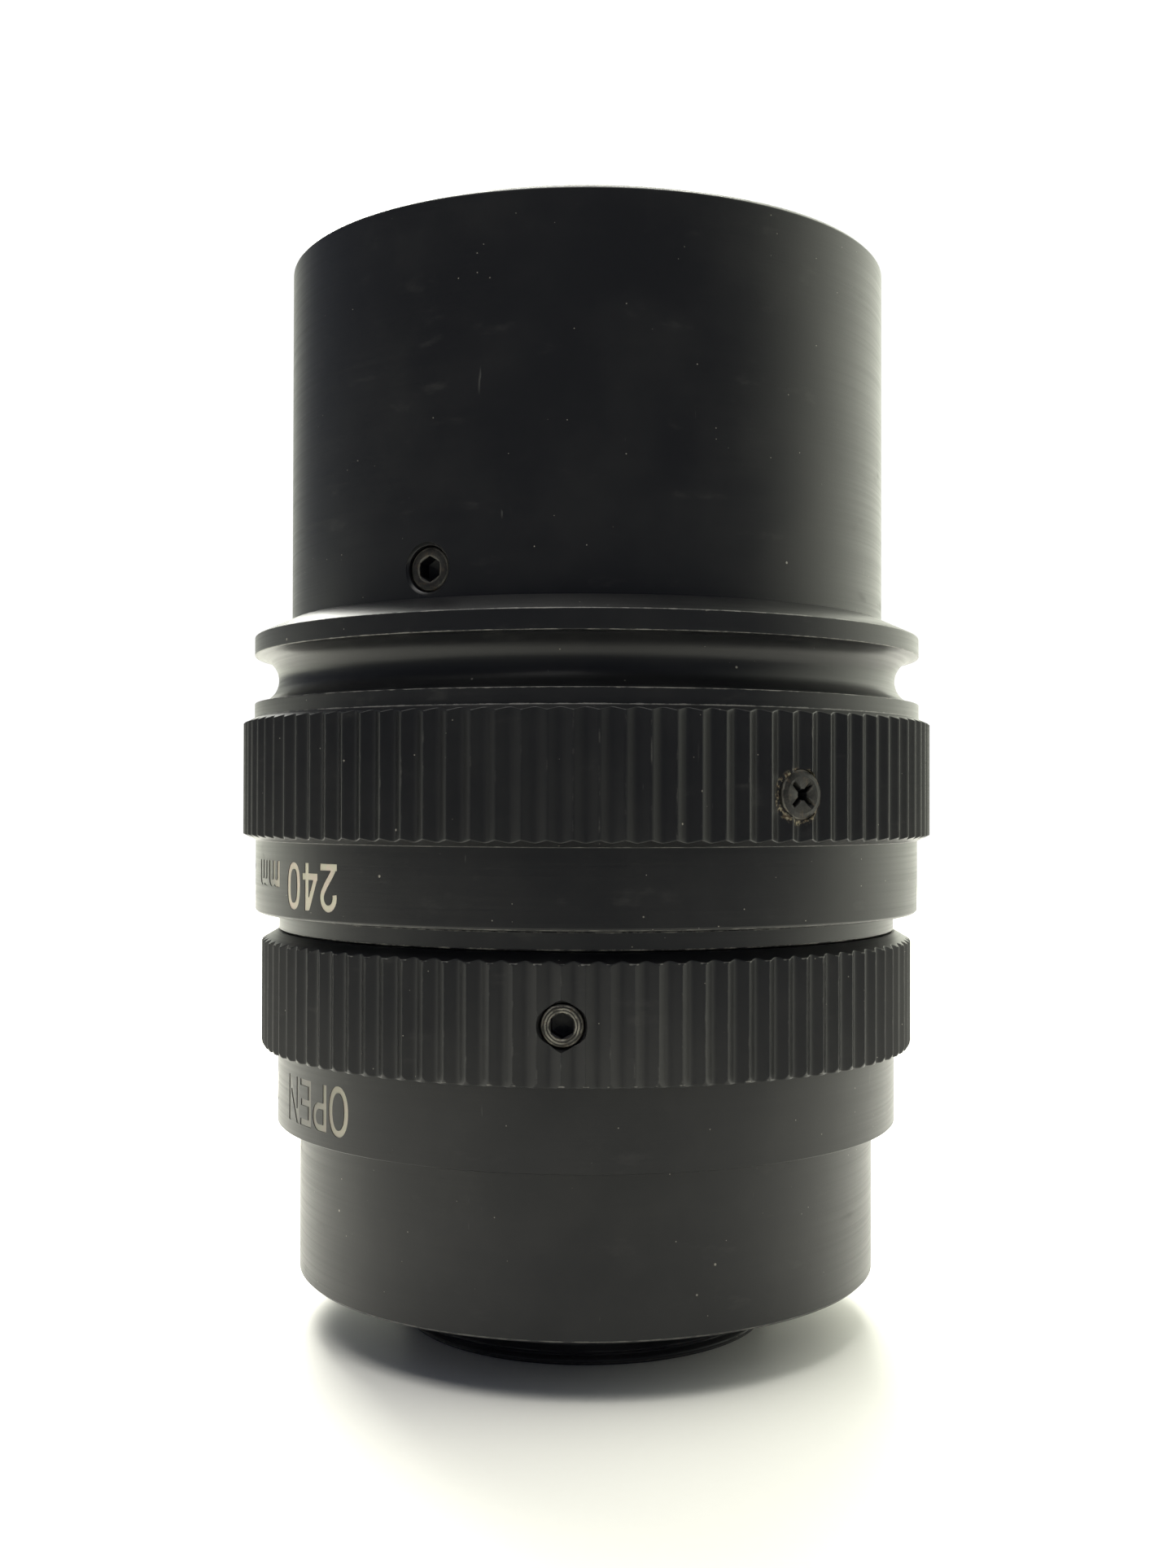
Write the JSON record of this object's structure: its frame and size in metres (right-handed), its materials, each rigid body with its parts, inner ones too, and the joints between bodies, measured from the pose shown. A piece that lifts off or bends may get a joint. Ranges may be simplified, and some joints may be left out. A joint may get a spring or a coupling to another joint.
{
  "type": "machine vision lens",
  "caption": "Manual-focus, manual-iris camera lens with a screw mount, knurled focus and iris rings and a plain front barrel.",
  "frame": {"origin": "centre of the mount thread's end face, at the lens's lowest level as it stands on its mount", "axes": "+Z along the optical axis, from the mount towards the front barrel; -Y towards the side that carries the iris lock screw"},
  "size_m": [0.0476, 0.0476, 0.072],
  "materials": {
    "anodised_black": "satin black anodised",
    "anodised_inner": "matt black anodised",
    "brass": "turned, greased",
    "screw_steel": "black oxide, worn at the edges",
    "bright_steel": "plain",
    "blade_steel": "matt black",
    "nylon": "plain",
    "glass": "polished and coated"
  },
  "bodies": {
    "mount_body": {"c_mount_ring": "anodised_black", "mount_shim": "brass", "mount_screws": "screw_steel", "rear_barrel": "anodised_black", "center_sleeve": "anodised_black", "sleeve_set_screws": "screw_steel", "guide_keys": "brass", "guide_key_screws": "screw_steel", "focus_retaining_ring": "anodised_inner"},
    "focus_control": {"focus_ring": "anodised_black", "helicoid_nut": "brass", "focus_ring_screws": "screw_steel", "focus_stop_pin": "bright_steel"},
    "optical_block": {"lens_tube": "anodised_inner", "front_barrel": "anodised_black", "front_barrel_set_screws": "screw_steel", "front_trim_ring": "anodised_inner", "front_cell": "anodised_inner", "front_lens": "glass", "front_retaining_ring": "anodised_inner", "front_spacer": "anodised_inner", "second_lens": "glass", "second_spacer": "anodised_inner", "third_lens": "glass", "fourth_lens": "glass", "doublet_retaining_ring": "anodised_inner", "rear_cell": "anodised_inner", "fifth_lens": "glass", "sixth_lens": "glass", "rear_spacer": "anodised_inner", "rear_lens": "glass", "rear_retaining_ring": "anodised_inner", "iris_base_plate": "anodised_inner", "iris_retaining_ring": "anodised_inner"},
    "iris_control": {"iris_ring": "anodised_black", "iris_drive_screw": "screw_steel"},
    "iris_cam": {"iris_cam_ring": "anodised_inner", "iris_fork": "bright_steel", "iris_fork_screws": "screw_steel"},
    "lock_pad": {"iris_lock_pad": "nylon"},
    "lock_screw": {"iris_lock_screw": "screw_steel"},
    "blade_1": {"iris_blade_1": "blade_steel"},
    "blade_2": {"iris_blade_2": "blade_steel"},
    "blade_3": {"iris_blade_3": "blade_steel"},
    "blade_4": {"iris_blade_4": "blade_steel"},
    "blade_5": {"iris_blade_5": "blade_steel"},
    "blade_6": {"iris_blade_6": "blade_steel"}
  },
  "joints": [
    {"name": "focus_turn", "type": "hinge", "parent": "mount_body", "child": "focus_control", "pos_m": [0, 0, 0.037], "axis": [0, 0, -1], "range_deg": [0, 160]},
    {"name": "focus_extend", "type": "slide", "parent": "mount_body", "child": "optical_block", "axis": [0, 0, 1], "range_m": [0, 0.004]},
    {"name": "iris_turn", "type": "hinge", "parent": "mount_body", "child": "iris_control", "pos_m": [0, 0, 0.02], "axis": [0, 0, 1], "range_deg": [0, 60]},
    {"name": "iris_cam_turn", "type": "hinge", "parent": "optical_block", "child": "iris_cam", "pos_m": [0, 0, 0.0245], "axis": [0, 0, 1], "range_deg": [0, 60]},
    {"name": "iris_lock_slide", "type": "slide", "parent": "iris_control", "child": "lock_pad", "axis": [-0.061, -0.9981, 0], "range_m": [0, 0.0009]},
    {"name": "iris_lock_turn", "type": "hinge", "parent": "lock_pad", "child": "lock_screw", "pos_m": [-0.0013, -0.02126, 0.0227], "axis": [-0.061, -0.9981, 0], "range_deg": [0, 720]},
    {"name": "blade_swing_1", "type": "hinge", "parent": "optical_block", "child": "blade_1", "pos_m": [0.014, 0, 0.0231], "axis": [0, 0, 1], "range_deg": [0, 34]},
    {"name": "blade_swing_2", "type": "hinge", "parent": "optical_block", "child": "blade_2", "pos_m": [0.007, 0.01212, 0.0231], "axis": [0, 0, 1], "range_deg": [0, 34]},
    {"name": "blade_swing_3", "type": "hinge", "parent": "optical_block", "child": "blade_3", "pos_m": [-0.007, 0.01212, 0.0231], "axis": [0, 0, 1], "range_deg": [0, 34]},
    {"name": "blade_swing_4", "type": "hinge", "parent": "optical_block", "child": "blade_4", "pos_m": [-0.014, 0, 0.0231], "axis": [0, 0, 1], "range_deg": [0, 34]},
    {"name": "blade_swing_5", "type": "hinge", "parent": "optical_block", "child": "blade_5", "pos_m": [-0.007, -0.01212, 0.0231], "axis": [0, 0, 1], "range_deg": [0, 34]},
    {"name": "blade_swing_6", "type": "hinge", "parent": "optical_block", "child": "blade_6", "pos_m": [0.007, -0.01212, 0.0231], "axis": [0, 0, 1], "range_deg": [0, 34]}
  ],
  "couplings": [
    {"joint": "focus_turn", "follows": "focus_extend", "rad_per_m": 698.13},
    {"joint": "iris_cam_turn", "follows": "iris_turn", "ratio": 1},
    {"joint": "iris_lock_turn", "follows": "iris_lock_slide", "rad_per_m": 13963},
    {"joint": "blade_swing_1", "follows": "iris_turn", "ratio": 0.56667},
    {"joint": "blade_swing_2", "follows": "iris_turn", "ratio": 0.56667},
    {"joint": "blade_swing_3", "follows": "iris_turn", "ratio": 0.56667},
    {"joint": "blade_swing_4", "follows": "iris_turn", "ratio": 0.56667},
    {"joint": "blade_swing_5", "follows": "iris_turn", "ratio": 0.56667},
    {"joint": "blade_swing_6", "follows": "iris_turn", "ratio": 0.56667}
  ]
}
